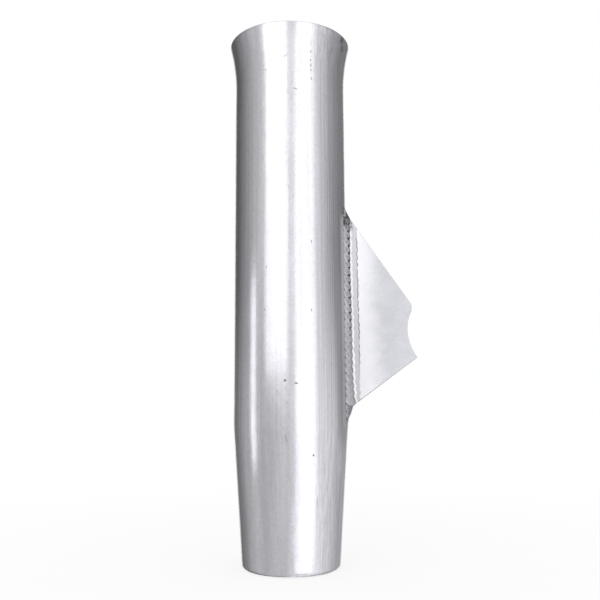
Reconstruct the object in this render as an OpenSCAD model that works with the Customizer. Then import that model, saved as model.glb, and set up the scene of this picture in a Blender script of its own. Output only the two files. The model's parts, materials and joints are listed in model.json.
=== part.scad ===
// Weld-on rod holder: a flared aluminium tube with a tapered foot, and a
// triangular gusset plate whose outer tip is notched to sit on a round rail.
// The tube stands along Z with the centre of its foot ring at the origin, and
// the plate lies in the XZ plane on the +X side. Each weld is its own solid.

/* [Tube] */
// Overall length from the foot to the rim
tube_len = 226; // [200:1:260]
// Outside diameter of the straight barrel
tube_od = 48.3; // [44:0.1:52]
// Wall thickness, the same all the way along
wall = 3.68; // [2.5:0.02:4.2]

/* [Mouth] */
// Outside radius that the flare reaches at the rim, before its edge is rounded
rim_r = 26.75; // [26.2:0.05:28]
// Length of the flared stretch below the rim
flare_h = 21; // [16:1:30]
// Rounding of the rim's two edges
rim_round = 0.5; // [0.3:0.1:1.2]

/* [Foot] */
// Height at which the taper meets the straight barrel
taper_h = 57.2; // [45:0.1:62]
// Outside radius that the taper would reach at the floor
foot_r = 20.33; // [19.6:0.01:21.2]
// Rounding of the foot's outer edge
foot_round = 2.2; // [1:0.1:2.4]

/* [Gusset plate] */
// Thickness of the plate
plate_t = 4.8; // [3:0.1:6.4]
// Height at which the upper edge leaves the tube
edge_top_z = 149.1; // [140:0.1:160]
// Height at which the lower edge leaves the tube
edge_low_z = 64.3; // [63:0.1:72]
// Slope of the upper edge below the horizontal
edge_top_slope = 56.2; // [52:0.1:58]
// Slope of the lower edge above the horizontal
edge_low_slope = 36.2; // [32:0.1:38]

/* [Rail saddle] */
// Radius of the notch that sits on the rail
saddle_r = 19.8; // [15:0.1:21]
// Distance of the rail's centre line from the tube's axis
saddle_x = 69.6; // [69:0.1:72]
// Height of the rail's centre line
saddle_z = 97.4; // [95:0.1:100]

/* [Welds] */
// Width of a fillet weld along the tube
tube_leg = 3; // [2:0.1:4]
// Width of a fillet weld along the plate
plate_leg = 2.4; // [1.6:0.1:2.8]
// How far a fillet's face bulges beyond the straight line between its toes
crown = 0.35; // [0.1:0.05:0.6]
// How far the end welds run along the plate's edges
end_run = 3; // [3:0.1:5]
// How far the upper end weld runs up the tube
upper_reach = 1.6; // [1.6:0.1:6]
// How far the lower end weld runs down the tube
lower_reach = 5; // [2:0.1:7]
// How far the upper end weld's face is dished below the line between its toes
upper_dish = 0.1; // [0.05:0.05:0.1]
// How far the lower end weld's face is dished below the line between its toes
lower_dish = 0.6; // [0.1:0.1:0.6]

/* [Hidden] */
$fn = 180;
tube_r = tube_od / 2;
taper = atan((tube_r - foot_r) / taper_h);
// The flare's outside is an arc that leaves the barrel without a corner
flare_rise = rim_r - tube_r;
flare_rho = (flare_h * flare_h + flare_rise * flare_rise) / (2 * flare_rise);
flare_centre = [tube_r + flare_rho, tube_len - flare_h];
flare_steps = 24;
round_steps = 6;
half_t = plate_t / 2;
// How far raw shapes reach into the tube before its outline cuts them
bury = 2;
root_x = tube_r - bury;
weld_x = tube_r + end_run;

tube_colour = [0.80, 0.80, 0.82];
plate_colour = [0.87, 0.88, 0.88];
weld_colour = [0.70, 0.70, 0.71];

// Height of the plate's upper and lower edge at a distance from the axis
function top_edge(x) = edge_top_z - (x - tube_r) * tan(edge_top_slope);
function low_edge(x) = edge_low_z + (x - tube_r) * tan(edge_low_slope);

// Points on an arc from one angle to another
function arc(centre, radius, start, end, steps) =
    [for (i = [0:steps])
        let (angle = start + (end - start) * i / steps)
        centre + radius * [cos(angle), sin(angle)]];

// Points from p to q along a shallow curve that bulges to the right by rise
function bowed(p, q, rise) =
    let (along = q - p, right = [along.y, -along.x] / norm(along))
    [for (t = [0:0.125:1]) p + along * t + right * rise * 4 * t * (1 - t)];

// Radius of the flare's face of radius rho, and its angle on that circle,
// where the rim's rounding begins
function rim_face_r(rho) = flare_centre.x - sqrt(rho * rho - pow(flare_h - rim_round, 2));
function rim_face_angle(rho) = 180 - asin((flare_h - rim_round) / rho);

// Half section of the wall: foot, outside, flare, rim, and back down the bore
module wall_section() {
    bore_rho = flare_rho + wall;
    rim_cz = tube_len - rim_round;
    foot_cx = foot_r - foot_round * (1 - sin(taper)) / cos(taper);
    polygon(concat(
        [[foot_r - wall / cos(taper), 0]],
        arc([foot_cx, foot_round], foot_round, -90, -taper, round_steps),
        [[tube_r, taper_h]],
        arc(flare_centre, flare_rho, 180, rim_face_angle(flare_rho), flare_steps),
        arc([rim_face_r(flare_rho) - rim_round, rim_cz], rim_round, 0, 90, round_steps),
        arc([rim_face_r(bore_rho) + rim_round, rim_cz], rim_round, 90, 180, round_steps),
        arc(flare_centre, bore_rho, rim_face_angle(bore_rho), 180, flare_steps),
        [[tube_r - wall, taper_h + wall * tan(taper / 2)]]));
}

// Drawn tube, swaged to a taper at the foot and belled out at the mouth
module flared_tube() {
    color(tube_colour)
        rotate_extrude()
            wall_section();
}

// The tube's outside as a plain solid, which cuts the plate and the welds
module tube_body() {
    cylinder(r1 = foot_r, r2 = tube_r, h = taper_h);
    translate([0, 0, taper_h])
        cylinder(r = tube_r, h = tube_len - flare_h - taper_h);
}

// Extrudes an outline drawn in X and Z to a thickness centred on the XZ plane
module upright(thickness) {
    rotate([90, 0, 0])
        linear_extrude(height = thickness, center = true)
            children();
}

// Flat plate coped to the tube at its root and to the rail at its tip
module gusset_plate() {
    clearance = 1;
    tip_x = tube_r
        + (edge_top_z - edge_low_z) / (tan(edge_top_slope) + tan(edge_low_slope));
    color(plate_colour)
        difference() {
            upright(plate_t)
                polygon([[root_x, low_edge(root_x)],
                         [tip_x, top_edge(tip_x)],
                         [root_x, top_edge(root_x)]]);
            tube_body();
            translate([saddle_x, 0, saddle_z])
                rotate([90, 0, 0])
                    cylinder(r = saddle_r, h = plate_t + 2 * clearance, center = true);
        }
}

// Point where the line from p to q, carried on past q, reaches the buried root
function carried_on(p, q) = q + (q - p) * (q.x - root_x) / (p.x - q.x);

// Curves that the end welds' faces follow, each with its buried end
function upper_face() =
    let (plate_toe = [weld_x, top_edge(weld_x)],
         tube_toe = [tube_r, edge_top_z + upper_reach])
    concat(bowed(plate_toe, tube_toe, -upper_dish), [carried_on(plate_toe, tube_toe)]);
function lower_face() =
    let (plate_toe = [weld_x, low_edge(weld_x)],
         tube_toe = [tube_r, edge_low_z - lower_reach])
    concat([carried_on(plate_toe, tube_toe)], bowed(tube_toe, plate_toe, -lower_dish));

// Fillet in the corner between the tube and the plate's +Y face, which runs
// past the plate's edges and wraps the end welds there
module fillet() {
    corner_x = sqrt(tube_r * tube_r - half_t * half_t);
    toe_angle = asin(half_t / tube_r) + tube_leg / tube_r * 180 / PI;
    tube_toe = tube_r * [cos(toe_angle), sin(toe_angle)];
    plate_toe = [corner_x + plate_leg, half_t];
    color(weld_colour)
        difference() {
            intersection() {
                linear_extrude(height = tube_len)
                    polygon(concat([[root_x, half_t]],
                                   bowed(plate_toe, tube_toe, crown),
                                   [[root_x, tube_toe.y]]));
                upright(tube_od)
                    polygon(concat(lower_face(), upper_face()));
            }
            tube_body();
        }
}

// Fillet on the plate's -Y side
module front_fillet_weld() {
    mirror([0, 1, 0])
        fillet();
}

// Fillet on the plate's +Y side
module rear_fillet_weld() {
    fillet();
}

// Weld across the plate's upper edge where it meets the tube
module upper_end_weld() {
    color(weld_colour)
        difference() {
            upright(plate_t)
                polygon(concat([[root_x, top_edge(root_x)]], upper_face()));
            tube_body();
        }
}

// Weld across the plate's lower edge where it meets the tube
module lower_end_weld() {
    color(weld_colour)
        difference() {
            upright(plate_t)
                polygon(concat(lower_face(), [[root_x, low_edge(root_x)]]));
            tube_body();
        }
}

flared_tube();
gusset_plate();
front_fillet_weld();
rear_fillet_weld();
upper_end_weld();
lower_end_weld();
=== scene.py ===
"""Looks of a weld-on rod holder: a drawn aluminium tube, belled at the mouth and
swaged at the foot, with a notched gusset plate welded to its side.

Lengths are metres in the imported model's frame. A name that ends in _mm is in
millimetres, as is every length in a material's own code, and MM turns it into
metres.
"""
import json
import logging
import math
import random
from contextlib import contextmanager
from dataclasses import dataclass
from enum import Enum
from typing import Callable, Iterator

import bmesh
import bpy
from mathutils import Matrix, Vector

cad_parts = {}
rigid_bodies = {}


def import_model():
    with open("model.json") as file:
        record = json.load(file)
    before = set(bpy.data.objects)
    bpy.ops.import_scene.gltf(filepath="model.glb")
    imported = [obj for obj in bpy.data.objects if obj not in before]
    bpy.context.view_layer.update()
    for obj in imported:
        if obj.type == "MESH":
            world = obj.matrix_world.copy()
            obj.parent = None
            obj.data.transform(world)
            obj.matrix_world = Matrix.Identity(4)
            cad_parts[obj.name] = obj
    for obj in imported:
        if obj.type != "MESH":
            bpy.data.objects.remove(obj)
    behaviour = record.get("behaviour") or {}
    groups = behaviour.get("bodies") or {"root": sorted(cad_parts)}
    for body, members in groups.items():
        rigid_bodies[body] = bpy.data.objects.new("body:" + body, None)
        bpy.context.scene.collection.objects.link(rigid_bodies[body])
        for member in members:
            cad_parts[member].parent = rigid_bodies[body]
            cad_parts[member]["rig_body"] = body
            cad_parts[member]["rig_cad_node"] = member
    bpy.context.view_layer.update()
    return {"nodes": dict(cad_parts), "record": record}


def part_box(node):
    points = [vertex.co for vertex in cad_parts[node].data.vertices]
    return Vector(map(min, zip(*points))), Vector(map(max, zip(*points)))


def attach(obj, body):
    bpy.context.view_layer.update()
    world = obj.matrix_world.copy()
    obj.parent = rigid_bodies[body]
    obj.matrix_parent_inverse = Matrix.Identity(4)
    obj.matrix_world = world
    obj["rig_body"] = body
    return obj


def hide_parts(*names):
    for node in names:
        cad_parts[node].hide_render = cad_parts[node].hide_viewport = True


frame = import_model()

logging.basicConfig(level=logging.INFO, format="%(name)s: %(message)s")
log = logging.getLogger("rod_holder")

MM = 0.001
BODY = "root"
SEED = 7
MERGE = 1e-6
SMOOTH_BELOW = math.radians(35)
Socket = bpy.types.NodeSocket


# --- Small tools ---------------------------------------------------------------


def linear(code: str) -> tuple[float, float, float, float]:
    """Turns an sRGB hex colour into Blender's linear colour.

    Args:
        code: six hex digits, such as "E6E6EA".

    Returns:
        Linear red, green, blue and an alpha of one.
    """
    shades = [int(code[i:i + 2], 16) / 255 for i in (0, 2, 4)]
    red, green, blue = (s / 12.92 if s <= 0.04045 else ((s + 0.055) / 1.055) ** 2.4
                        for s in shades)
    return red, green, blue, 1.0


def activate(piece: bpy.types.Object) -> None:
    """Leaves one object selected and active."""
    bpy.ops.object.select_all(action="DESELECT")
    piece.select_set(True)
    bpy.context.view_layer.objects.active = piece


@contextmanager
def editing(piece: bpy.types.Object) -> Iterator[None]:
    """Holds an object in edit mode, with nothing selected at the start.

    Args:
        piece: the mesh object to edit.
    """
    activate(piece)
    bpy.ops.object.mode_set(mode="EDIT")
    bpy.ops.mesh.select_mode(type="VERT")
    bpy.ops.mesh.select_all(action="DESELECT")
    yield
    bpy.ops.object.mode_set(mode="OBJECT")


def select_points(piece: bpy.types.Object, test: Callable[[Vector], bool]) -> None:
    """Selects the points of the mesh in edit mode that pass a test.

    Args:
        piece: the object in edit mode.
        test: takes a point's place and says whether to select it.
    """
    shape = bmesh.from_edit_mesh(piece.data)
    for point in shape.verts:
        point.select_set(test(point.co))
    shape.select_flush(True)
    bmesh.update_edit_mesh(piece.data)


def merge_points() -> None:
    """Merges the doubled points of the mesh in edit mode, and leaves all selected."""
    bpy.ops.mesh.select_all(action="SELECT")
    bpy.ops.mesh.remove_doubles(threshold=MERGE)


def apply_modifier(piece: bpy.types.Object, kind: str, **settings: object) -> None:
    """Adds one modifier with its settings and applies it.

    Args:
        piece: the mesh object.
        kind: Blender's name of the modifier's type.
        settings: the modifier's own settings.
    """
    activate(piece)
    modifier = piece.modifiers.new(kind.title(), kind)
    for name, value in settings.items():
        setattr(modifier, name, value)
    bpy.ops.object.modifier_apply(modifier=modifier.name)


def named(piece: bpy.types.Object, name: str) -> bpy.types.Object:
    """Names an object and its mesh, and returns the object."""
    piece.name = name
    piece.data.name = name
    return piece


def settled(name: str) -> bpy.types.Object:
    """Names the primitive just added and moves its place and size into its mesh."""
    bpy.ops.object.transform_apply(location=True, rotation=True, scale=True)
    return named(bpy.context.active_object, name)


def dress(piece: bpy.types.Object, *materials: bpy.types.Material) -> None:
    """Smooths a piece up to its corners and gives it its materials.

    Args:
        piece: the piece.
        materials: its materials, in the order of their indices.
    """
    activate(piece)
    bpy.ops.object.shade_smooth_by_angle(angle=SMOOTH_BELOW)
    for material in materials:
        piece.data.materials.append(material)


def arc(centre: tuple[float, float], radius: float, start: float, end: float,
        steps: int) -> list[tuple[float, float]]:
    """Points on an arc.

    Args:
        centre: the arc's centre.
        radius: its radius.
        start: angle of the first point in degrees.
        end: angle of the last point in degrees.
        steps: how many stretches lie between them.

    Returns:
        The points, both ends among them.
    """
    angles = [math.radians(start + (end - start) * i / steps) for i in range(steps + 1)]
    return [(centre[0] + radius * math.cos(a), centre[1] + radius * math.sin(a))
            for a in angles]


def turned(name: str, section: list[tuple[float, float]], steps: int) -> bpy.types.Object:
    """Turns a closed section about Z, as on a lathe.

    Args:
        name: the piece's name.
        section: radius and height of each corner, going round the section once.
        steps: facets round the axis.

    Returns:
        The closed ring-shaped piece.
    """
    first = section[0]
    bpy.ops.object.select_all(action="DESELECT")
    bpy.ops.mesh.primitive_plane_add(size=MM, location=(first[0], 0, first[1]))
    piece = settled(name)
    with editing(piece):
        bpy.ops.mesh.select_all(action="SELECT")
        bpy.ops.mesh.merge(type="CENTER")
        for here, there in zip(section, section[1:] + [first]):
            step = (there[0] - here[0], 0, there[1] - here[1])
            bpy.ops.mesh.extrude_region_move(TRANSFORM_OT_translate={"value": step})
        merge_points()
        bpy.ops.mesh.spin(steps=steps, angle=math.tau, center=(0, 0, 0), axis=(0, 0, 1))
        merge_points()
        bpy.ops.mesh.normals_make_consistent(inside=False)
    return piece


def finish_piece(piece: bpy.types.Object, slot: str, *nodes: str) -> None:
    """Hands a finished piece to the frame and reports it.

    Args:
        piece: the finished object.
        slot: the record's material slot that its finish belongs to; not used.
        nodes: the CAD nodes that it stands for.
    """
    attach(piece, BODY)
    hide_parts(*nodes)
    log.info("%s: %d faces, stands for %s", piece.name, len(piece.data.polygons),
             ", ".join(nodes))


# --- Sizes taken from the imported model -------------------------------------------


@dataclass(frozen=True)
class Sizes:
    """Driving sizes of the holder, in metres and degrees.

    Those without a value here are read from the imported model. The plate's edges leave
    the tube at top_z and low_z, and slope down and up from there.
    """

    length: float
    bore_r: float
    saddle_r: float
    saddle_x: float
    saddle_z: float
    plate_low: Vector
    plate_high: Vector
    wall: float = 3.68 * MM
    top_z: float = 149.1 * MM
    low_z: float = 64.3 * MM
    top_slope: float = math.radians(56.2)
    low_slope: float = math.radians(36.2)

    @property
    def barrel_r(self) -> float:
        """Outside radius of the straight barrel."""
        return self.bore_r + self.wall

    @property
    def half_plate(self) -> float:
        """Half the gusset plate's thickness."""
        return self.plate_high.y

    @classmethod
    def from_frame(cls) -> "Sizes":
        """Reads the sizes from the mounts and from the nodes' boxes."""
        mounts = {mount["name"]: mount for mount in frame["record"]["mounts"]}
        saddle = mounts["rail_saddle"]
        saddle_r = saddle["dims"]["r_mm"] * MM
        low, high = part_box("gusset_plate")
        return cls(
            length=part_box("flared_tube")[1].z,
            bore_r=mounts["rod_socket"]["dims"]["r_mm"] * MM,
            saddle_r=saddle_r,
            saddle_x=saddle["pos_m"][0] + saddle_r,
            saddle_z=saddle["pos_m"][2],
            plate_low=low,
            plate_high=high,
        )


@dataclass(frozen=True)
class ToeDrift:
    """How the fillets' edge on the plate wanders outward towards the lower end.

    Every length is in millimetres.
    """

    start: float = 122.0
    slope: float = 0.012
    turn: float = 80.0
    curve: float = 0.0045

    def at(self, z: float) -> float:
        """The drift at a height."""
        return (self.slope * max(0.0, self.start - z)
                + self.curve * max(0.0, self.turn - z) ** 2)


DRIFT = ToeDrift()


# --- Materials -------------------------------------------------------------------


def add_node(tree: bpy.types.NodeTree, kind: str, inputs: dict | None = None,
             **settings: object) -> bpy.types.Node:
    """Adds a node with its settings, its plain values and its links.

    Args:
        tree: the node tree.
        kind: the node's type without the word ShaderNode.
        inputs: input name or number to its plain value, or to the socket that feeds it.
        settings: the node's own settings.

    Returns:
        The new node.
    """
    node = tree.nodes.new("ShaderNode" + kind)
    for name, value in settings.items():
        setattr(node, name, value)
    for name, value in (inputs or {}).items():
        if isinstance(value, Socket):
            tree.links.new(value, node.inputs[name])
        else:
            node.inputs[name].default_value = value
    return node


def blank_material(name: str) -> bpy.types.Material:
    """Makes a material with an empty node tree."""
    material = bpy.data.materials.new(name)
    material.use_nodes = True
    material.node_tree.nodes.clear()
    return material


class Recipe:
    """A material under construction: metal, read in millimetres on Object coordinates."""

    def __init__(self, name: str, metallic: float = 1.0, anisotropy: float = 0.0) -> None:
        """Starts a metal shader.

        Args:
            name: the material's name.
            metallic: how metallic it is, less where oxide hides part of the metal.
            anisotropy: how far highlights stretch across the draw lines.
        """
        self.material = blank_material(name)
        self.tree = self.material.node_tree
        self.shader = self.add("BsdfPrincipled", {"Metallic": metallic})
        if anisotropy:
            around = self.add("Tangent", direction_type="RADIAL", axis="Z")
            self.shader.inputs["Anisotropic"].default_value = anisotropy
            self.feed("Tangent", around.outputs[0])
        self.add("OutputMaterial", {"Surface": self.shader.outputs[0]})
        place = self.add("TexCoord")
        self.place_mm = self.add("Mapping", {"Vector": place.outputs["Object"],
                                             "Scale": (1 / MM,) * 3}).outputs[0]
        self.x, self.y, self.z = self.add("SeparateXYZ", {0: self.place_mm}).outputs

    @property
    def out_y(self) -> Socket:
        """Distance from the plate's middle, to either side."""
        return self.maths("ABSOLUTE", self.y)

    def add(self, kind: str, inputs: dict | None = None, **settings: object) -> bpy.types.Node:
        """Adds a node to this material."""
        return add_node(self.tree, kind, inputs, **settings)

    def feed(self, name: str, source: Socket) -> None:
        """Links a socket to one of the shader's inputs."""
        self.tree.links.new(source, self.shader.inputs[name])

    def maths(self, operation: str, *terms: Socket | float) -> Socket:
        """Works one sum on sockets and numbers."""
        return self.add("Math", dict(enumerate(terms)), operation=operation).outputs[0]

    def plus(self, first: Socket | float, *others: Socket | float) -> Socket:
        """Adds sockets and numbers up."""
        for other in others:
            first = self.maths("ADD", first, other)
        return first

    def less(self, first: Socket | float, second: Socket | float) -> Socket:
        """Takes the second from the first."""
        return self.maths("SUBTRACT", first, second)

    def times(self, first: Socket | float, *others: Socket | float) -> Socket:
        """Multiplies sockets and numbers."""
        for other in others:
            first = self.maths("MULTIPLY", first, other)
        return first

    def larger(self, first: Socket | float, second: Socket | float) -> Socket:
        """The larger of two sockets or numbers."""
        return self.maths("MAXIMUM", first, second)

    def wave(self, value: Socket, pitch_mm: float) -> Socket:
        """A sine of a length in millimetres, or of a count of waves when pitch_mm is one."""
        return self.maths("SINE", self.times(value, math.tau / pitch_mm))

    def ramp(self, value: Socket, low: float, high: float, start: float = 0.0,
             end: float = 1.0) -> Socket:
        """Eases a value from start to end while it goes from low to high."""
        return self.add("MapRange", {"Value": value, "From Min": low, "From Max": high,
                                     "To Min": start, "To Max": end},
                        interpolation_type="SMOOTHSTEP").outputs[0]

    def noise(self, grain_mm: tuple[float, float, float], detail: float = 2.0,
              roughness: float = 0.5, shift: float = 0.0) -> Socket:
        """Cloudy noise with its own grain along each axis.

        Args:
            grain_mm: size of the grain along X, Y and Z in millimetres.
            detail: octaves of finer noise.
            roughness: strength of the finer noise.
            shift: moves the pattern, so that two noises differ.

        Returns:
            A value about a half.
        """
        scaled = self.add("Mapping", {"Vector": self.place_mm, "Location": (shift,) * 3,
                                      "Scale": tuple(1 / g for g in grain_mm)})
        return self.add("TexNoise", {"Vector": scaled.outputs[0], "Scale": 1.0,
                                     "Detail": detail, "Roughness": roughness}).outputs["Fac"]

    def sway(self, noise: Socket, span: float) -> Socket:
        """Turns a noise into a value about nought that spans so much."""
        return self.times(self.less(noise, 0.5), span)

    def mix(self, factor: Socket | float, first: object, second: object) -> Socket:
        """Mixes two colours, each a socket or a plain linear colour."""
        return self.add("Mix", {0: factor, 6: first, 7: second}, data_type="RGBA").outputs[2]

    def tint(self, colour: Socket, factor: Socket, code: str) -> Socket:
        """Mixes a hex colour into a colour."""
        return self.mix(factor, colour, linear(code))

    def set(self, colour: Socket, roughness: Socket, *bumps: tuple[Socket, float],
            metallic: Socket | None = None) -> bpy.types.Material:
        """Feeds the shader.

        Args:
            colour: the base colour.
            roughness: the roughness.
            bumps: pairs of a height between nought and one, and its depth in millimetres.
            metallic: how metallic it is, where that changes over the surface.

        Returns:
            The finished material.
        """
        self.feed("Base Color", colour)
        self.feed("Roughness", roughness)
        if metallic is not None:
            self.feed("Metallic", metallic)
        below: dict = {}
        for height, depth in bumps:
            bump = self.add("Bump", {"Height": height, "Distance": depth * MM, **below})
            below = {"Normal": bump.outputs[0]}
        self.feed("Normal", below["Normal"])
        return self.material


def from_toe(m: Recipe, toe_mm: float) -> Socket:
    """Distance along X from the fillets' edge on the plate, which drifts with height.

    Args:
        m: the material under construction.
        toe_mm: where the edge is near the upper end.

    Returns:
        The distance in millimetres, which is below nought on the weld's side.
    """
    lean = m.times(m.larger(m.less(DRIFT.start, m.z), 0.0), DRIFT.slope)
    bend = m.larger(m.less(DRIFT.turn, m.z), 0.0)
    bend = m.times(bend, bend, DRIFT.curve)
    return m.less(m.x, m.plus(lean, bend, toe_mm))


@dataclass(frozen=True)
class Mark:
    """A small pit or scratch on the tube's outside.

    Attributes:
        azimuth: degrees round the tube from +X.
        height_mm: height above the foot.
        length_mm: half its length.
        width_mm: half its width.
        lean: degrees that its length leans from upright.
        strength: how dark it is, where one is darkest.
    """

    azimuth: float
    height_mm: float
    length_mm: float
    width_mm: float
    lean: float = 0.0
    strength: float = 1.0


@dataclass(frozen=True)
class DrawnTube:
    """Bare aluminium pipe as drawn through a die: bright, with fine lines along it.

    Beside the welds it has a strip that was brushed for welding and that the arc has
    left dull and pale, and beyond it a wider, fainter band of painted shade.
    """

    colour: str = "F3F2F8"
    dull_colour: str = "E3E2E8"
    grey_colour: str = "CFCED4"
    comb_colour: str = "A5A4AA"
    grit_colour: str = "B4B3B9"
    dirt_colour: str = "6B6A70"
    brushed_colour: str = "BCBBC1"
    painted_shade_colour: str = "6E6D73"
    roughness: float = 0.17
    dirt_roughness: float = 0.25
    brushed_roughness: float = 0.3
    brushed_oxide: float = 0.6
    line_mm: float = 0.55
    comb_mm: float = 0.8
    line_depth_mm: float = 0.009
    haze_depth_mm: float = 0.06
    mark_reach_mm: float = 5.0
    marks: tuple[Mark, ...] = (
        # Pits and nicks on the front
        Mark(-87.4, 76.0, 0.7, 0.7), Mark(-76.9, 74.9, 0.4, 1.0, -8),
        Mark(-95.0, 71.5, 0.3, 0.6, 0, 0.5), Mark(-84.8, 67.2, 0.35, 0.5, 0, 0.5),
        Mark(-86.3, 53.4, 2.2, 0.3, 12, 0.6), Mark(-54.6, 28.6, 3.4, 0.35, 0, 0.5),
        Mark(-59.9, 46.8, 0.6, 0.5), Mark(-76.6, 197.0, 0.4, 1.5, -20, 0.6),
        Mark(-86.5, 211.4, 1.5, 0.3, -60, 0.4), Mark(-107.5, 206.3, 0.4, 1.7, -8, 0.35),
        Mark(-107.5, 104.5, 0.7, 0.35, 0, 0.6), Mark(-105.9, 121.8, 0.9, 0.3, 0, 0.6),
        Mark(-148.3, 100.8, 0.7, 0.6, 0, 0.6), Mark(-147.0, 90.5, 0.5, 0.6, 0, 0.5),
        # A file of dashes where the tube dragged over something
        Mark(-61.0, 217.9, 2.2, 0.25, 0, 0.4), Mark(-60.8, 213.9, 0.8, 0.35, 0, 0.75),
        Mark(-60.7, 210.2, 0.7, 0.35, 0, 0.75), Mark(-60.5, 208.1, 1.0, 0.35, 0, 0.7),
        Mark(-60.3, 205.9, 0.8, 0.3, 0, 0.75), Mark(-60.0, 202.2, 0.8, 0.3, 0, 0.75),
        Mark(-61.0, 132.3, 0.9, 0.3, 0, 0.7), Mark(-61.6, 104.1, 0.8, 0.3, 0, 0.8),
        # A grubby knock on the rim
        Mark(-22.0, 224.0, 2.1, 2.4, 35, 1.0), Mark(-18.0, 221.0, 2.2, 2.0, 35, 0.7))

    def material(self, sizes: Sizes) -> bpy.types.Material:
        """Builds the material.

        Args:
            sizes: the holder's sizes, which place the marks.

        Returns:
            The material for the tube's outside.
        """
        m = Recipe("drawn_aluminium_tube", anisotropy=0.3)
        # Die lines half a millimetre apart, which comb the highlights along the tube
        lines = m.noise((self.line_mm, self.line_mm, 70), 3, 0.6)
        # Wider, fainter streaks of uneven polish
        streaks = m.noise((3.2, 3.2, 160), 2, 0.5, shift=11)
        # Handling haze, which softens the reflection in patches
        haze = m.noise((9, 9, 14), 4, 0.6, shift=23)
        # Small blotches left by handling and by the die's lubricant
        blotch = m.noise((1.3, 1.3, 2.2), 3, 0.6, shift=37)
        # Coarser die lines on the side towards the plate
        comb = m.noise((self.comb_mm, self.comb_mm, 120), 3, 0.6, shift=61)
        # Fine grit marks, which show wherever no lamp is mirrored
        grit = m.noise((0.55, 0.55, 1.0), 2, 0.6, shift=53)
        colour = m.mix(m.ramp(streaks, 0.35, 0.7), linear(self.colour),
                       linear(self.dull_colour))
        colour = m.tint(colour, m.ramp(lines, 0.35, 0.65, 0, 0.22), self.grey_colour)
        colour = m.tint(colour, m.ramp(blotch, 0.45, 0.75, 0, 0.3), self.grey_colour)
        combed = m.times(m.ramp(comb, 0.42, 0.58), m.ramp(m.x, 11, 15, 0, 0.3))
        colour = m.tint(colour, combed, self.comb_colour)
        colour = m.tint(colour, m.ramp(grit, 0.42, 0.68, 0, 0.14), self.grit_colour)
        # Specks of dirt all over, and the marks
        dirt = m.ramp(m.noise((0.5, 0.5, 0.6), 2, 0.5, shift=41), 0.7, 0.76, 0, 0.4)
        for mark in self.marks:
            dirt = m.larger(dirt, self._spot(m, sizes, mark))
        colour = m.tint(colour, m.times(dirt, 0.85), self.dirt_colour)
        # The pale, dull brushed strip, and painted shade that greys the metal beyond it, most
        # near the foot
        brushed = self._beside_welds(m, (6.2, 9.4), (55, 61), (143, 148))
        painted_shade = m.times(self._beside_welds(m, (9.9, 13.2), (45, 60), (150, 165)),
                        m.ramp(m.z, 72, 112, 0.37, 0.1))
        colour = m.tint(colour, brushed, self.brushed_colour)
        colour = m.tint(colour, painted_shade, self.painted_shade_colour)
        rough = m.plus(self.roughness, m.ramp(haze, 0.4, 0.75, 0, 0.06),
                       m.times(dirt, self.dirt_roughness),
                       m.times(brushed, self.brushed_roughness))
        return m.set(colour, rough, (lines, self.line_depth_mm), (haze, self.haze_depth_mm),
                     metallic=m.less(1.0, m.times(brushed, self.brushed_oxide)))

    @staticmethod
    def _beside_welds(m: Recipe, fade: tuple[float, float], rise: tuple[float, float],
                      fall: tuple[float, float]) -> Socket:
        """Masks a strip of the tube beside the welds.

        Args:
            m: the material under construction.
            fade: distances from the plate's middle between which it fades out.
            rise: heights between which it fades in.
            fall: heights between which it fades out.

        Returns:
            One in the strip, and nought away from it.
        """
        plate_side = m.maths("GREATER_THAN", m.x, 0.0)
        return m.times(m.ramp(m.out_y, *fade, 1, 0), m.ramp(m.z, *rise),
                       m.ramp(m.z, *fall, 1, 0), plate_side)

    def _spot(self, m: Recipe, sizes: Sizes, mark: Mark) -> Socket:
        """A soft mask over one mark.

        Args:
            m: the material under construction.
            sizes: the holder's sizes.
            mark: the mark.

        Returns:
            The mark's strength inside it, and nought outside.
        """
        turn = math.radians(mark.azimuth)
        radius_mm = sizes.barrel_r / MM
        local = m.add("Mapping", {
            "Vector": m.place_mm,
            "Location": (radius_mm * math.cos(turn), radius_mm * math.sin(turn),
                         mark.height_mm),
            "Rotation": (math.radians(mark.lean), 0, turn),
            "Scale": (self.mark_reach_mm, mark.width_mm, mark.length_mm)},
            vector_type="TEXTURE")
        away = m.add("VectorMath", {0: local.outputs[0]}, operation="LENGTH")
        return m.ramp(away.outputs["Value"], 0.4, 1.1, mark.strength, 0)


@dataclass(frozen=True)
class TurnedEdge:
    """Aluminium faced square on a lathe: fine rings about the tube's axis."""

    colour: str = "D8D8DC"
    dull_colour: str = "C4C4CA"
    roughness: float = 0.3
    ring_mm: float = 0.25

    def material(self) -> bpy.types.Material:
        """Builds the material for the rim and the foot ring."""
        m = Recipe("turned_aluminium_edge")
        # Rings a quarter of a millimetre apart, which catch the light as a fine sheen
        across = m.add("CombineXYZ", {0: m.x, 1: m.y})
        radius = m.add("VectorMath", {0: across.outputs[0]}, operation="LENGTH")
        rings = m.wave(radius.outputs["Value"], self.ring_mm)
        haze = m.noise((2, 2, 2), 3)
        colour = m.mix(haze, linear(self.colour), linear(self.dull_colour))
        rough = m.ramp(haze, 0.3, 0.7, self.roughness, self.roughness + 0.1)
        return m.set(colour, rough, (rings, 0.006))


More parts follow.
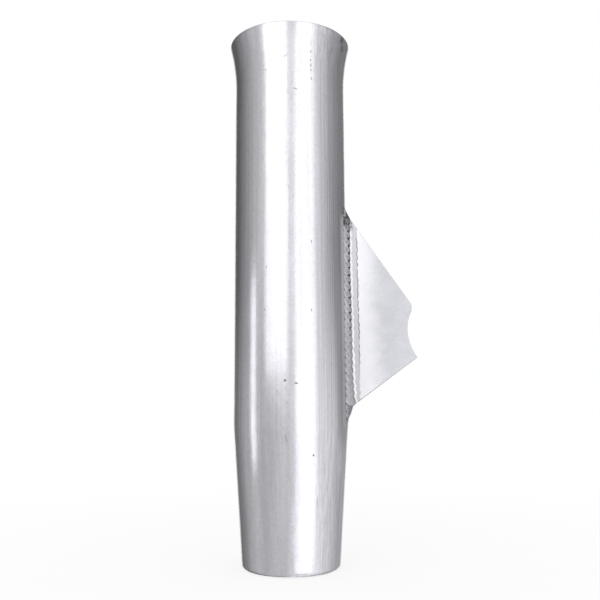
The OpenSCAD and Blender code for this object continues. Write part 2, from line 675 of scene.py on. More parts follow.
@dataclass(frozen=True)
class PipeBore:
    """The inside of drawn pipe: duller than the outside, with coarser lines."""

    colour: str = "DAD9DE"
    dull_colour: str = "C2C1C7"
    metallic: float = 0.75
    roughness: float = 0.42

    def material(self) -> bpy.types.Material:
        """Builds the material for the tube's inside."""
        m = Recipe("drawn_aluminium_bore", self.metallic, anisotropy=0.2)
        # Coarse draw lines under a patchy oxide haze, which keep the inside dull
        lines = m.noise((0.9, 0.9, 50), 3, 0.6, shift=5)
        haze = m.noise((9, 9, 16), 4, 0.6, shift=31)
        colour = m.mix(haze, linear(self.colour), linear(self.dull_colour))
        rough = m.ramp(haze, 0.3, 0.7, self.roughness, self.roughness + 0.12)
        return m.set(colour, rough, (lines, 0.01))


@dataclass(frozen=True)
class MillSheet:
    """Mill-finish aluminium sheet: matte and finely mottled, with rolling lines.

    Beside the weld it carries a painted highlight at the toe, then a flat grey band with
    a thin dark edge that the arc left, then painted light that fades from almost white.
    """

    pale_light_colour: str = "F1F1F5"
    colour: str = "D5D5DB"
    mottle_colour: str = "CDCFD4"
    band_colour: str = "D0CFD5"
    upper_highlight_colour: str = "E6E5EA"
    lower_highlight_colour: str = "FFFFFF"
    line_colour: str = "86868A"
    darkening_colour: str = "555458"
    roughness: float = 0.42
    toe_mm: float = 26.88
    bright_mm: float = 0.2
    band_mm: float = 2.35
    pale_light_mm: tuple[float, float] = (3.2, 14.0)
    pitch_mm: float = 3.2

    def material(self) -> bpy.types.Material:
        """Builds the material for the gusset plate's faces."""
        m = Recipe("mill_finish_aluminium_sheet")
        # Matte grain a millimetre across, and cloudier patches six across
        mottle = m.noise((0.9, 0.9, 0.7), 3, 0.6)
        clouds = m.noise((6, 6, 4.5), 3, 0.6, shift=29)
        # Faint lines from the rolls, half a millimetre apart
        rolling = m.noise((0.5, 0.5, 18), 2, 0.5, shift=9)
        toe = self._from_toe(m)
        patches = m.plus(m.times(mottle, 0.5), m.times(clouds, 0.5))
        colour = m.mix(m.ramp(patches, 0.4, 0.62), linear(self.colour),
                       linear(self.mottle_colour))
        # Painted light that pales the sheet near the weld, reaching further out near the lower
        # end
        reach = m.plus(toe, m.sway(clouds, 4.5), m.ramp(m.z, 76, 108, -1.8, 0))
        colour = m.mix(m.ramp(reach, *self.pale_light_mm), linear(self.pale_light_colour), colour)
        # A painted highlight along the toe, whitest at the lower end, where the weld was
        # started
        beside = m.ramp(toe, self.bright_mm - 0.1, self.bright_mm + 0.1, 1, 0)
        bright = m.mix(m.ramp(m.z, 84, 108), linear(self.lower_highlight_colour),
                       linear(self.upper_highlight_colour))
        colour = m.mix(beside, colour, bright)
        # The grey band and its broken dark edge
        past = m.plus(m.less(toe, self.band_mm), m.ramp(m.z, 68, 90, 0.7, 0))
        band = m.times(m.ramp(toe, self.bright_mm - 0.1, self.bright_mm + 0.1),
                       m.ramp(past, -0.1, 0.1, 1, 0))
        dashes = m.times(m.ramp(m.z, 74, 92, 0.25, 1),
                         m.ramp(m.noise((1.5, 1.5, 2.2), 2, 0.6, shift=17), 0.36, 0.55))
        edge = m.times(m.ramp(past, -0.35, -0.1), m.ramp(past, 0.05, 0.3, 1, 0), dashes)
        colour = m.tint(colour, band, self.band_colour)
        colour = m.tint(colour, edge, self.line_colour)
        # Soot from the arc's last stop, at the band's upper end
        darkening = m.times(m.ramp(m.z, 139, 142.5), m.ramp(toe, 0.2, 1.0, 0.8, 0),
                       m.ramp(mottle, 0.3, 0.6, 0.5, 1))
        colour = m.tint(colour, darkening, self.darkening_colour)
        rough = m.less(m.plus(self.roughness, m.ramp(mottle, 0.3, 0.7, -0.04, 0.04)),
                       m.times(beside, 0.08))
        # Less metallic towards the lower end, so that the white world lights it paler there:
        # painted light
        return m.set(colour, rough, (mottle, 0.02), (rolling, 0.006),
                     metallic=m.ramp(m.z, 72, 112, 0.5, 1))

    def _from_toe(self, m: Recipe) -> Socket:
        """Distance from the weld's toe in millimetres, scalloped like the weld.

        Args:
            m: the material under construction.

        Returns:
            The distance's socket, which is below nought under the weld.
        """
        scallops = m.times(m.wave(m.z, self.pitch_mm), 0.14)
        wander = m.sway(m.noise((4, 4, 3), 2, 0.5, shift=3), 0.8)
        return m.less(from_toe(m, self.toe_mm), m.plus(scallops, wander))


@dataclass(frozen=True)
class SawnEdge:
    """Aluminium sheet cut with a fine saw: lines across its thickness."""

    colour: str = "D6D7D9"
    dull_colour: str = "BFC0C4"
    darkening_colour: str = "4E4D51"
    roughness: float = 0.36

    def material(self) -> bpy.types.Material:
        """Builds the material for the plate's cut edges."""
        m = Recipe("sawn_aluminium_edge")
        # Saw lines a third of a millimetre apart, which break the edge's reflection up
        cuts = m.noise((0.35, 6, 0.35), 3, 0.6)
        colour = m.mix(m.noise((3, 3, 3), 3), linear(self.colour), linear(self.dull_colour))
        # Painted shade along the lower edge, darkest near the tube
        darkening = m.times(m.ramp(m.x, 30, 50, 0.85, 0.1), m.ramp(m.z, 95, 88, 0, 1))
        colour = m.tint(colour, darkening, self.darkening_colour)
        rough = m.ramp(cuts, 0.3, 0.7, self.roughness, self.roughness + 0.15)
        return m.set(colour, rough, (cuts, 0.03))


@dataclass(frozen=True)
class WeldMetal:
    """Aluminium filler as it froze: semi-bright ripples with painted shade in the creases and
    hollows.

    The ends, where the arc was started and stopped, are darker and pitted.
    """

    colour: str = "C6C5CB"
    shade_colour: str = "ABAAB0"
    dull_colour: str = "9A999F"
    ring_colour: str = "7E7D83"
    darkening_colour: str = "4A494D"
    metallic: float = 0.7
    roughness: float = 0.38
    darkening_roughness: float = 0.3
    ripple_mm: float = 0.8
    middle_mm: float = 3.8
    pitch_mm: float = 3.2
    crease_mm: float = 1.6
    crease_x_mm: float = 26.1

    def material(self) -> bpy.types.Material:
        """Builds the material for the welds."""
        # A skin of oxide lets some of the light scatter
        m = Recipe("as_welded_aluminium", self.metallic)
        grain = m.noise((0.4, 0.4, 0.4), 3, 0.6)
        cloud = m.noise((1.3, 1.3, 1.3), 3, 0.6, shift=13)
        # Fine freezing rings, bowed across the bead
        bow = m.maths("POWER", m.less(m.out_y, self.middle_mm), 2.0)
        rings = m.wave(m.plus(m.maths("DIVIDE", m.z, self.ripple_mm), m.times(bow, 0.35)), 1)
        # Painted shade in the hollows and in the creases, and soot over the two ends
        hollow = m.add("NewGeometry").outputs["Pointiness"]
        darkening = m.times(m.ramp(hollow, 0.40, 0.48, 1, 0), m.ramp(cloud, 0.35, 0.6, 0.3, 0.8),
                       m.ramp(m.z, 80, 108, 0.1, 1))
        darkening = m.larger(darkening, self._creases(m, cloud))
        darkening = m.larger(darkening, self._ends(m, grain, cloud))
        colour = m.mix(m.ramp(cloud, 0.3, 0.7), linear(self.colour),
                       linear(self.shade_colour))
        # Painted shade, darker towards the lower end
        colour = m.tint(colour, m.ramp(m.z, 68, 104, 0.35, 0), self.dull_colour)
        colour = m.tint(colour, m.ramp(rings, -0.2, 0.9, 0, 0.3), self.ring_colour)
        # The painted shade of hollows and creases, and the ends' soot, darken the colour here
        colour = m.tint(colour, darkening, self.darkening_colour)
        rough = m.plus(self.roughness, m.times(darkening, self.darkening_roughness))
        return m.set(colour, rough, (rings, 0.012), (grain, 0.035), (cloud, 0.06))

    @staticmethod
    def _ends(m: Recipe, grain: Socket, cloud: Socket) -> Socket:
        """Masks the pitted soot at the two ends, thinner in the middle of the edge.

        Args:
            m: the material under construction.
            grain: fine noise that makes the pits.
            cloud: coarser noise that groups them.

        Returns:
            How far the soot hides the metal.
        """
        ends = m.larger(m.ramp(m.z, 140, 142.5), m.ramp(m.z, 67, 64, 0, 0.6))
        coarse = m.plus(m.times(grain, 0.4), m.times(cloud, 0.6))
        return m.times(ends, m.ramp(coarse, 0.44, 0.56, 0.3, 0.95),
                       m.ramp(m.out_y, 0.8, 2.5, 0.5, 1))

    def _creases(self, m: Recipe, cloud: Socket) -> Socket:
        """Masks the painted shade between the ripples, at the bead's edge on the plate.

        Args:
            m: the material under construction.
            cloud: noise that breaks the marks up.

        Returns:
            One in the middle of each mark, and nought away from them.
        """
        away = m.maths("ABSOLUTE", from_toe(m, self.crease_x_mm))
        beat = m.wave(m.less(m.z, self.crease_mm), self.pitch_mm)
        mark = m.plus(m.less(m.times(beat, 0.95), away), m.sway(cloud, 1.2))
        return m.times(m.ramp(mark, -0.25, 0.35), m.ramp(m.z, 82, 106, 0.15, 0.95))


# --- The tube --------------------------------------------------------------------


@dataclass
class FlaredTube:
    """The pipe, with its belled mouth and its swaged foot."""

    sizes: Sizes
    rim_r: float = 26.75 * MM
    flare_h: float = 21 * MM
    rim_round: float = 0.5 * MM
    taper_h: float = 57.2 * MM
    foot_r: float = 20.33 * MM
    foot_round: float = 2.2 * MM
    foot_chamfer: float = 0.3 * MM
    knee_round: float = 30 * MM
    facets: int = 224
    barrel_rings: int = 16
    flat_above: float = 0.9

    @property
    def taper(self) -> float:
        """The taper's slope from the axis, in degrees."""
        return math.degrees(math.atan2(self.sizes.barrel_r - self.foot_r, self.taper_h))

    @property
    def flare_rho(self) -> float:
        """Radius of the arc that the flare's outside follows."""
        rise = self.rim_r - self.sizes.barrel_r
        return (self.flare_h ** 2 + rise ** 2) / (2 * rise)

    def _knee(self, inset: float) -> list[tuple[float, float]]:
        """The soft bend between the taper and the barrel.

        Args:
            inset: how far the face lies inside the outside face.

        Returns:
            Radius and height of its points, going up.
        """
        half = math.radians(self.taper) / 2
        tangent = self.knee_round * math.tan(half)
        centre = (self.sizes.barrel_r - self.knee_round, self.taper_h + tangent)
        return arc(centre, self.knee_round - inset, -self.taper, 0, 6)

    def _flare(self, inset: float) -> list[tuple[float, float]]:
        """The flare's face, from the barrel up to where the rim's rounding begins.

        Args:
            inset: how far the face lies inside the outside face.

        Returns:
            Radius and height of its points, going up.
        """
        rho = self.flare_rho + inset
        centre = (self.sizes.barrel_r + self.flare_rho, self.sizes.length - self.flare_h)
        end = math.degrees(math.asin((self.flare_h - self.rim_round) / rho))
        return arc(centre, rho, 180, 180 - end, 20)

    def _barrel(self, radius: float) -> list[tuple[float, float]]:
        """Rings along the straight barrel, between the knee and the flare."""
        low = self._knee(0)[-1][1]
        high = self.sizes.length - self.flare_h
        count = self.barrel_rings
        return [(radius, low + (high - low) * i / count) for i in range(1, count)]

    def section(self) -> list[tuple[float, float]]:
        """The wall's section: foot, outside, rim, and back down the bore."""
        wall = self.sizes.wall
        lean = math.radians(self.taper)
        foot_c = (self.foot_r - self.foot_round * (1 - math.sin(lean)) / math.cos(lean),
                  self.foot_round)
        outer, inner = self._flare(0), self._flare(wall)
        rim_z = self.sizes.length - self.rim_round
        bore_foot_r = self.foot_r - wall / math.cos(lean)
        return [(bore_foot_r + self.foot_chamfer, 0.0),
                *arc(foot_c, self.foot_round, -90, -self.taper, 8),
                *self._knee(0),
                *self._barrel(self.sizes.barrel_r),
                *outer,
                *arc((outer[-1][0] - self.rim_round, rim_z), self.rim_round, 15, 90, 5),
                *arc((inner[-1][0] + self.rim_round, rim_z), self.rim_round, 90, 165, 5),
                *reversed(inner),
                *reversed(self._barrel(self.sizes.bore_r)),
                *reversed(self._knee(wall)),
                (bore_foot_r, self.foot_chamfer)]

    def build(self, outside: bpy.types.Material, bore: bpy.types.Material,
              edge: bpy.types.Material) -> bpy.types.Object:
        """Turns the tube and dresses it.

        Args:
            outside: the finish of the outside.
            bore: the finish of the inside.
            edge: the finish of the rim and of the foot ring.

        Returns:
            The tube.
        """
        piece = turned("rod_tube", self.section(), self.facets)
        dress(piece, outside, bore, edge)
        for face in piece.data.polygons:
            outward = face.center.xy.dot(face.normal.xy)
            if abs(face.normal.z) > self.flat_above:
                face.material_index = 2
            elif outward < 0:
                face.material_index = 1
        finish_piece(piece, "tube_aluminium", "flared_tube")
        return piece


# --- The gusset plate ------------------------------------------------------------


@dataclass
class GussetPlate:
    """The flat plate, cut square to its faces and notched for the rail."""

    sizes: Sizes
    edge_round: float = 0.25 * MM
    lip_round: float = 1.9 * MM
    sunk: float = 0.2 * MM
    spare: float = 1.4
    cutter_facets: int = 224
    cutter_depth: float = 0.3
    flat_above: float = 0.9

    def _cutter(self, x: float, radius: float, upright: bool) -> bpy.types.Object:
        """A round cutter at the rail's height.

        Args:
            x: its axis along X.
            radius: its radius.
            upright: whether it stands along Z, or lies along Y.

        Returns:
            The cutter, which the caller deletes.
        """
        bpy.ops.object.select_all(action="DESELECT")
        turn = (0, 0, 0) if upright else (math.pi / 2, 0, 0)
        bpy.ops.mesh.primitive_cylinder_add(
            vertices=self.cutter_facets, radius=radius, depth=self.cutter_depth,
            location=(x, 0, self.sizes.saddle_z), rotation=turn)
        return bpy.context.active_object

    def build(self, face: bpy.types.Material, edge: bpy.types.Material) -> bpy.types.Object:
        """Cuts the plate out and dresses it.

        Args:
            face: the finish of its two faces.
            edge: the finish of its cut edges.

        Returns:
            The plate.
        """
        s = self.sizes
        size = s.plate_high - s.plate_low
        bpy.ops.object.select_all(action="DESELECT")
        bpy.ops.mesh.primitive_cube_add(
            size=1, location=(s.plate_low + s.plate_high) / 2,
            scale=(size.x * self.spare, size.y, size.z * self.spare))
        piece = settled("gusset_sheet")
        cuts = (((s.barrel_r, 0, s.top_z), (math.sin(s.top_slope), 0, math.cos(s.top_slope))),
                ((s.barrel_r, 0, s.low_z), (math.sin(s.low_slope), 0, -math.cos(s.low_slope))))
        with editing(piece):
            for place, normal in cuts:
                bpy.ops.mesh.select_all(action="SELECT")
                bpy.ops.mesh.bisect(plane_co=place, plane_no=normal, use_fill=True,
                                    clear_outer=True)
        for cutter in (self._cutter(0, s.barrel_r - self.sunk, True),
                       self._cutter(s.saddle_x, s.saddle_r, False)):
            apply_modifier(piece, "BOOLEAN", operation="DIFFERENCE", object=cutter,
                           solver="EXACT")
            bpy.data.objects.remove(cutter)
        with editing(piece):
            merge_points()
        self._round_upper_lip(piece)
        apply_modifier(piece, "BEVEL", width=self.edge_round, segments=3,
                       limit_method="ANGLE", angle_limit=math.radians(40))
        dress(piece, face, edge)
        for polygon in piece.data.polygons:
            polygon.material_index = 0 if abs(polygon.normal.y) > self.flat_above else 1
        # Its blurred mirror image in the tube would swamp the shade beside the weld
        piece.visible_glossy = False
        finish_piece(piece, "plate_aluminium", "gusset_plate")
        return piece

    @staticmethod
    def _select_cross_edges(piece: bpy.types.Object, tip: Vector, near: float,
                            far: float) -> None:
        """Selects the edges across the plate's thickness at some distance from a corner.

        Args:
            piece: the plate in edit mode, with edges as its select mode.
            tip: the corner's place in X and Z.
            near: the least distance.
            far: the greatest distance.
        """
        shape = bmesh.from_edit_mesh(piece.data)
        for edge in shape.edges:
            middle = (edge.verts[0].co + edge.verts[1].co) / 2
            edge.select_set(abs(middle.y) < MERGE and near <= (middle.xz - tip).length < far)
        bmesh.update_edit_mesh(piece.data)

    def _round_upper_lip(self, piece: bpy.types.Object) -> None:
        """Rounds the corner between the upper edge and the notch."""
        above = [p.co for p in piece.data.vertices if p.co.z > self.sizes.saddle_z]
        tip = max(above, key=lambda co: co.x).xz.copy()
        with editing(piece):
            bpy.ops.mesh.select_mode(type="EDGE")
            # The notch is cut in short chords, which leave the rounding no room
            self._select_cross_edges(piece, tip, MERGE, self.lip_round * 1.2)
            bpy.ops.mesh.dissolve_edges()
            self._select_cross_edges(piece, tip, 0, MERGE)
            bpy.ops.mesh.bevel(offset=self.lip_round, segments=6, affect="EDGES")


# --- The welds -------------------------------------------------------------------


class Side(Enum):
    """The plate's two faces, by the sign of Y."""

    FRONT = -1
    REAR = 1


class End(Enum):
    """The plate's two ends at the tube, by the sign of the weld's lean in Z."""

    UPPER = 1
    LOWER = -1


@dataclass(frozen=True)
class Ripple:
    """One frozen puddle of a weld.

    Attributes:
        place: its middle.
        across: direction from toe to toe.
        along: direction of travel.
        half: half its width, length and height.
    """

    place: Vector
    across: Vector
    along: Vector
    half: tuple[float, float, float]

    @property
    def matrix(self) -> Matrix:
        """Places and sizes a puddle of unit size."""
        out = self.across.cross(self.along).normalized()
        turn = Matrix((self.across, self.along, out)).transposed().to_4x4()
        return Matrix.Translation(self.place) @ turn @ Matrix.Diagonal((*self.half, 1))


@dataclass
class Weld:
    """A weld: the CAD bead as its core, with overlapping ripples frozen on it."""

    sizes: Sizes
    voxel: float = 0.15 * MM
    smoothing: int = 5

    @property
    def node(self) -> str:
        """The CAD node's name."""
        raise NotImplementedError

    def ripples(self) -> list[Ripple]:
        """Lays the ripples."""
        raise NotImplementedError

    def trim(self) -> None:
        """Shapes the core, which is in edit mode and all selected."""

    @staticmethod
    def _puddle() -> bpy.types.Object:
        """Models one ripple of unit size, a disc domed on its face."""
        bpy.ops.object.select_all(action="DESELECT")
        bpy.ops.mesh.primitive_uv_sphere_add(segments=24, ring_count=12, radius=1)
        puddle = bpy.context.active_object
        crown = 0.8
        with editing(puddle):
            select_points(puddle, lambda co: co.z > crown)
            bpy.ops.transform.resize(value=(1.25, 1.25, 0.9), center_override=(0, 0, crown))
        return puddle

    def _core(self, name: str) -> bpy.types.Object:
        """Copies the CAD bead, merges the copy and trims it.

        Args:
            name: the copy's name.

        Returns:
            The weld's core.
        """
        core = frame["nodes"][self.node].copy()
        core.data = core.data.copy()
        core.parent = None
        core.data.materials.clear()
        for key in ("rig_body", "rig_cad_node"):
            del core[key]
        bpy.context.scene.collection.objects.link(core)
        with editing(core):
            merge_points()
            self.trim()
        return named(core, name)

    def build(self, name: str, finish: bpy.types.Material) -> bpy.types.Object:
        """Joins a CAD bead and its ripples into one skin.

        Args:
            name: which weld it is.
            finish: its material.

        Returns:
            The weld.
        """
        piece = self._core(f"{name}_weld_bead")
        puddle = self._puddle()
        copies = []
        for ripple in self.ripples():
            copy = puddle.copy()
            copy.data = puddle.data.copy()
            bpy.context.scene.collection.objects.link(copy)
            copy.matrix_world = ripple.matrix
            copies.append(copy)
        bpy.data.objects.remove(puddle)
        activate(piece)
        for copy in copies:
            copy.select_set(True)
        bpy.ops.object.join()
        piece.data.materials.clear()
        apply_modifier(piece, "REMESH", mode="VOXEL", voxel_size=self.voxel)
        apply_modifier(piece, "SMOOTH", factor=0.5, iterations=self.smoothing)
        bpy.ops.object.shade_smooth()
        piece.data.materials.append(finish)
        finish_piece(piece, "weld_aluminium", self.node)
        return piece


@dataclass
class FilletWeld(Weld):
    """A long fillet in the corner between the tube and one face of the plate."""

    side: Side = Side.FRONT
    tube_leg: float = 2.75 * MM
    plate_leg: float = 2.5 * MM
    pitch: float = 3.2 * MM
    first_z: float = 68.0 * MM
    last_z: float = 147.8 * MM
    tilt: float = 9.0
    tilt_spread: float = 3.0
    half_length: float = 2.3 * MM
    half_height: float = 0.45 * MM
    sunk_mm: float = 0.2
    overhang: float = 0.3 * MM
    core_share: float = 0.8

    @property
    def node(self) -> str:
        """The CAD node's name."""
        return f"{self.side.name.lower()}_fillet_weld"

    @property
    def corner(self) -> Vector:
        """Where the tube meets the plate's face, at the foot's height."""
        half_t = self.sizes.half_plate
        return Vector((math.sqrt(self.sizes.barrel_r ** 2 - half_t ** 2),
                       self.side.value * half_t, 0))

    def trim(self) -> None:
        """Draws the core in towards the corner, so that the ripples stand proud."""
        bpy.ops.transform.resize(value=(self.core_share, self.core_share, 1),
                                 center_override=self.corner)

    def plate_toe(self, z: float) -> Vector:
        """The bead's edge on the plate, which draws in near the plate's own edges.

        Args:
            z: the height.

        Returns:
            The toe's place.
        """
        s = self.sizes
        room = min((s.top_z - z) / math.tan(s.top_slope),
                   (z - s.low_z) / math.tan(s.low_slope))
        reach = min(self.plate_leg + DRIFT.at(z / MM) * MM, room + self.overhang)
        return self.corner + Vector((reach, 0, z))

    def tube_toe(self, z: float) -> Vector:
        """The bead's edge on the tube.

        Args:
            z: the height.

        Returns:
            The toe's place.
        """
        radius = self.sizes.barrel_r
        turn = math.asin(self.sizes.half_plate / radius) + self.tube_leg / radius
        toe = Vector((math.cos(turn), self.side.value * math.sin(turn), 0)) * radius
        toe.z = z
        return toe

    def ripples(self) -> list[Ripple]:
        """Lays the ripples up the corner, each over the one below.

        Returns:
            The ripples, lowest first.
        """
        rng = random.Random(SEED + self.side.value)
        result = []
        z = self.first_z
        while z < self.last_z:
            plate_toe, tube_toe = self.plate_toe(z), self.tube_toe(z)
            chord = plate_toe - tube_toe
            out = Vector((-chord.y, chord.x, 0)).normalized()
            if out.x < 0:
                out.negate()
            lean = math.radians(self.tilt + rng.uniform(-self.tilt_spread, self.tilt_spread))
            along = Vector((0, 0, 1)) * math.cos(lean) - out * math.sin(lean)
            place = (plate_toe + tube_toe) / 2 - out * self.sunk_mm * MM
            half = (chord.length / 2 * rng.uniform(0.97, 1.05), self.half_length,
                    self.half_height * rng.uniform(0.9, 1.1))
            result.append(Ripple(place, chord.normalized(), along, half))
            z += self.pitch
        return result


@dataclass
class EndWeld(Weld):
    """The weld that wraps one end of the plate onto the tube."""

    smoothing: int = 14
    end: End = End.UPPER
    rows_mm: tuple[float, ...] = (-2.0, 0.0, 2.0)
    half_length: float = 1.4 * MM
    half_height: float = 0.6 * MM
    sunk_mm: float = 0.75

    @property
    def node(self) -> str:
        """The CAD node's name."""
        return f"{self.end.name.lower()}_end_weld"

    def ripples(self) -> list[Ripple]:
        """Lays a few shallow ripples across the plate's edge.

        Returns:
            The ripples, from the front to the rear.
        """
        rng = random.Random(SEED + 10 * self.end.value)
        low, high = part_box(self.node)
        tube_z, plate_z = (high.z, low.z) if self.end is End.UPPER else (low.z, high.z)
        plate_toe = Vector((high.x, 0, plate_z))
        tube_toe = Vector((self.sizes.barrel_r, 0, tube_z))
        chord = plate_toe - tube_toe
        out = Vector((abs(chord.z), 0, self.end.value * abs(chord.x))).normalized()
        result = []
        for row in self.rows_mm:
            place = (plate_toe + tube_toe) / 2 - out * self.sunk_mm * MM
            place.y = row * MM
            half = (chord.length / 2 * rng.uniform(0.75, 0.85), self.half_length,
                    self.half_height * rng.uniform(0.9, 1.1))
            result.append(Ripple(place, chord.normalized(), Vector((0, 1, 0)), half))
        return result


# --- The studio ------------------------------------------------------------------


@dataclass(frozen=True)
class Softbox:
    """A flat lamp that faces the tube.

    Attributes:
        name: its name.
        azimuth: degrees to the right of the camera, seen from the tube.
        distance: from the tube's axis.
        width: its width.
        low: height of its lower edge.
        high: height of its upper edge.
        brightness: how bright it looks, where one is white.
    """

    name: str
    azimuth: float
    distance: float
    width: float
    low: float
    high: float
    brightness: float


@dataclass
class Studio:
    """Camera, lamps, grey flags and floor.

    The flags are a round grey well about the object, open above and behind it. They
    show only in reflections, where polished metal needs something dark to mirror.
    Each stop is degrees to the right of the camera, and the grey there. The floor
    turns from paper into plain white between its two shade distances.
    """

    camera_turn: float = 8.0
    camera_distance: float = 316.9 * MM
    camera_height: float = 67.24 * MM
    pitch: float = 7.92
    yaw: float = -0.746
    roll: float = -0.296
    lens: float = 44.32
    softboxes: tuple[Softbox, ...] = (
        Softbox("left_softbox", -27.9, 0.8, 0.676, 0.108, 0.80, 0.60),
        Softbox("right_softbox", 29.5, 0.8, 0.582, -0.45, 0.80, 0.42),
        Softbox("left_strip", -78.5, 0.7, 0.15, -0.09, 0.233, 0.70),
    )
    flag_distance: float = 1.2
    flag_low: float = -1.0
    flag_high: float = 2.4
    flag_opening: float = 157.0
    upper_tones: tuple[tuple[float, float], ...] = (
        (-157, 0.11), (-128, 0.117), (-112, 0.23), (-99, 0.30), (-88, 0.40), (-76, 0.50),
        (-66, 0.58), (-57, 0.64), (-10, 0.72), (0, 0.80), (8, 0.78), (45, 0.80),
        (57, 0.79), (66, 0.74), (76, 0.58), (87, 0.43), (99, 0.35), (114, 0.28),
        (157, 0.19))
    lower_tones: tuple[tuple[float, float], ...] = (
        (-157, 0.11), (-130, 0.21), (-111, 0.36), (-97, 0.46), (-84, 0.52), (-73, 0.53),
        (-62, 0.51), (-52, 0.53), (-43, 0.51), (-34, 0.56), (-25, 0.59), (-17, 0.64),
        (-8, 0.64), (0, 0.68), (8, 0.76), (45, 0.88), (53, 1.05), (63, 0.96), (74, 0.87),
        (85, 0.79), (98, 0.685), (112, 0.55), (130, 0.46), (157, 0.40))
    blend_low: float = 0.007
    blend_high: float = 0.40
    floor_radius: float = 6.0
    floor_drop: float = 0.05 * MM
    floor_colour: str = "EDEDED"
    shade_near: float = 0.05
    shade_far: float = 0.35
    white_share: float = 0.8

    def build(self) -> None:
        """Sets up everything round the object."""
        bpy.context.scene.view_settings.view_transform = "Standard"
        self._camera()
        for softbox in self.softboxes:
            self._lamp(softbox)
        self._daylight()
        self._flags()
        self._floor()

    def _toward(self, azimuth: float) -> Vector:
        """Unit vector from the tube at degrees to the right of the camera."""
        angle = math.radians(self.camera_turn + azimuth)
        return Vector((math.sin(angle), -math.cos(angle), 0))

    def _camera(self) -> None:
        """Adds the camera and makes it the scene's."""
        place = self._toward(0) * self.camera_distance
        place.z = self.camera_height
        bpy.ops.object.camera_add()
        camera = bpy.context.active_object
        camera.name = "camera"
        camera.data.lens = self.lens
        camera.data.sensor_width = 36
        camera.data.clip_start = 0.01
        heading = Matrix.Rotation(math.radians(self.camera_turn + self.yaw), 4, "Z")
        tilt = Matrix.Rotation(math.radians(90 + self.pitch), 4, "X")
        roll = Matrix.Rotation(math.radians(self.roll), 4, "Z")
        camera.matrix_world = Matrix.Translation(place) @ heading @ tilt @ roll
        bpy.context.scene.camera = camera

    def _lamp(self, softbox: Softbox) -> None:
        """Adds one softbox, turned to face the tube's axis."""
        place = self._toward(softbox.azimuth) * softbox.distance
        place.z = (softbox.low + softbox.high) / 2
        height = softbox.high - softbox.low
        turn = math.radians(self.camera_turn + softbox.azimuth)
        bpy.ops.object.light_add(type="AREA", location=place,
                                 rotation=(math.pi / 2, 0, turn))
        lamp = bpy.context.active_object
        lamp.name = softbox.name
        lamp.data.shape = "RECTANGLE"
        lamp.data.size = softbox.width
        lamp.data.size_y = height
        # A flat lamp's radiance is its power over four times its area
        lamp.data.energy = softbox.brightness * 4 * softbox.width * height
        lamp.visible_camera = False

    @staticmethod
    def _daylight() -> None:
        """Lights the scene by a plain white world, which is the backdrop too."""
        world = bpy.data.worlds.new("white_backdrop")
        bpy.context.scene.world = world
        world.use_nodes = True
        world.node_tree.nodes.clear()
        white = add_node(world.node_tree, "Background",
                         {"Color": (1, 1, 1, 1), "Strength": 1.0})
        add_node(world.node_tree, "OutputWorld", {"Surface": white.outputs[0]})

    def _flags(self) -> None:
        """Adds the ring of grey wall that only reflections see."""
        bpy.ops.object.select_all(action="DESELECT")
        bpy.ops.mesh.primitive_cylinder_add(
            vertices=120, radius=self.flag_distance, depth=self.flag_high - self.flag_low,
            end_fill_type="TRIFAN", location=(0, 0, (self.flag_high + self.flag_low) / 2))
        flags = settled("grey_flags")
        ahead = self._toward(0)
        limit = math.cos(math.radians(self.flag_opening)) * self.flag_distance
        with editing(flags):
            # The points behind the object, and the middle of the lid
            select_points(flags, lambda co: co.xy.dot(ahead.xy) < limit
                          or (co.xy.length < self.flag_distance / 2 and co.z > 0))
            bpy.ops.mesh.delete(type="VERT")
        flags.data.materials.append(self._flag_cloth())
        for ray in ("camera", "diffuse", "transmission", "shadow"):
            setattr(flags, f"visible_{ray}", False)

    def _flag_cloth(self) -> bpy.types.Material:
        """Builds the flags' glow, which changes round the room and with height."""
        material = blank_material("grey_flag_cloth")
        material.cycles.emission_sampling = "NONE"
        tree = material.node_tree
        place = add_node(tree, "TexCoord").outputs["Object"]
        facing = math.radians(self.camera_turn - 90)
        turned_round = add_node(tree, "VectorRotate", {
            "Vector": place, "Axis": (0, 0, 1), "Angle": -facing},
            rotation_type="AXIS_ANGLE")
        sweep = add_node(tree, "TexGradient", {"Vector": turned_round.outputs[0]},
                         gradient_type="RADIAL").outputs["Fac"]
        rise = add_node(tree, "MapRange", {
            "Value": add_node(tree, "SeparateXYZ", {0: place}).outputs["Z"],
            "From Min": self.blend_low, "From Max": self.blend_high},
            interpolation_type="SMOOTHSTEP")
        mixed = add_node(tree, "MixRGB", {
            "Fac": rise.outputs[0],
            "Color1": self._tone_ramp(tree, sweep, self.lower_tones),
            "Color2": self._tone_ramp(tree, sweep, self.upper_tones)})
        glow = add_node(tree, "Emission", {"Color": mixed.outputs[0]})
        add_node(tree, "OutputMaterial", {"Surface": glow.outputs[0]})
        return material

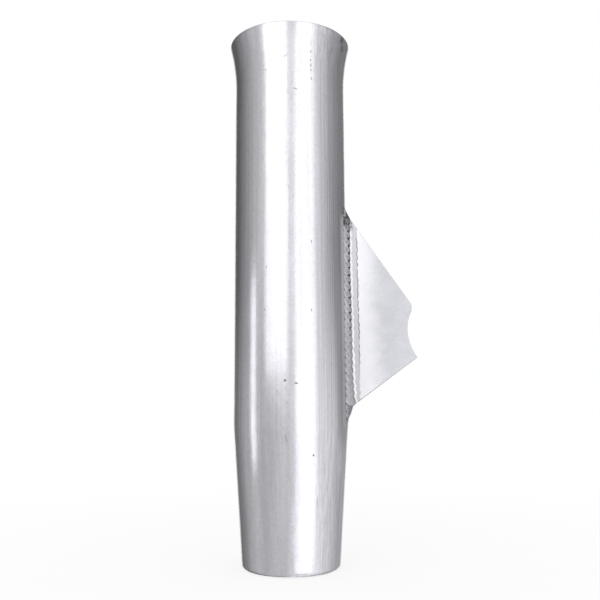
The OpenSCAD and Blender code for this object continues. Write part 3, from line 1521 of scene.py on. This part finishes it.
    @staticmethod
    def _tone_ramp(tree: bpy.types.NodeTree, sweep: Socket,
                   stops: tuple[tuple[float, float], ...]) -> Socket:
        """A ramp of greys round the room.

        Args:
            tree: the flags' node tree.
            sweep: nought to one, once round, with a half straight at the camera.
            stops: degrees to the right of the camera, and the grey there.

        Returns:
            The colour's socket.
        """
        ramp = add_node(tree, "ValToRGB", {"Fac": sweep})
        elements = ramp.color_ramp.elements
        while len(elements) > 1:
            elements.remove(elements[-1])
        elements[0].position = 0
        elements[0].color = (stops[0][1],) * 3 + (1,)
        for degrees, grey in stops[1:]:
            element = elements.new((degrees + 180) / 360)
            element.color = (grey, grey, grey, 1)
        return ramp.outputs["Color"]

    def _floor(self) -> None:
        """Adds a plain pale floor, which fades into the white wall."""
        bpy.ops.object.select_all(action="DESELECT")
        bpy.ops.mesh.primitive_circle_add(vertices=96, radius=self.floor_radius,
                                          fill_type="NGON", location=(0, 0, -self.floor_drop))
        floor = settled("floor")
        material = blank_material("white_paper_floor")
        tree = material.node_tree
        paper = add_node(tree, "BsdfDiffuse", {"Color": linear(self.floor_colour)})
        glow = add_node(tree, "Emission", {"Color": (1, 1, 1, 1), "Strength": 1.0})
        place = add_node(tree, "TexCoord")
        away = add_node(tree, "VectorMath", {0: place.outputs["Object"]}, operation="LENGTH")
        fade = add_node(tree, "MapRange", {
            "Value": away.outputs["Value"], "From Min": self.shade_near,
            "From Max": self.shade_far, "To Min": self.white_share, "To Max": 1},
            interpolation_type="SMOOTHSTEP")
        mixed = add_node(tree, "MixShader", {0: fade.outputs[0], 1: paper.outputs[0],
                                             2: glow.outputs[0]})
        add_node(tree, "OutputMaterial", {"Surface": mixed.outputs[0]})
        floor.data.materials.append(material)
        # Lamps reach below the floor, so that the foot mirrors them as the barrel does
        for ray in ("glossy", "diffuse", "shadow"):
            setattr(floor, f"visible_{ray}", False)


# --- Making it -------------------------------------------------------------------


def main() -> None:
    """Builds the studio and every piece, in order."""
    sizes = Sizes.from_frame()
    Studio().build()
    FlaredTube(sizes).build(DrawnTube().material(sizes), PipeBore().material(),
                            TurnedEdge().material())
    GussetPlate(sizes).build(MillSheet().material(), SawnEdge().material())
    metal = WeldMetal().material()
    welds = {"front": FilletWeld(sizes), "rear": FilletWeld(sizes, side=Side.REAR),
             "upper": EndWeld(sizes), "lower": EndWeld(sizes, end=End.LOWER)}
    for name, weld in welds.items():
        weld.build(name, metal)


if __name__ == "__main__":
    main()
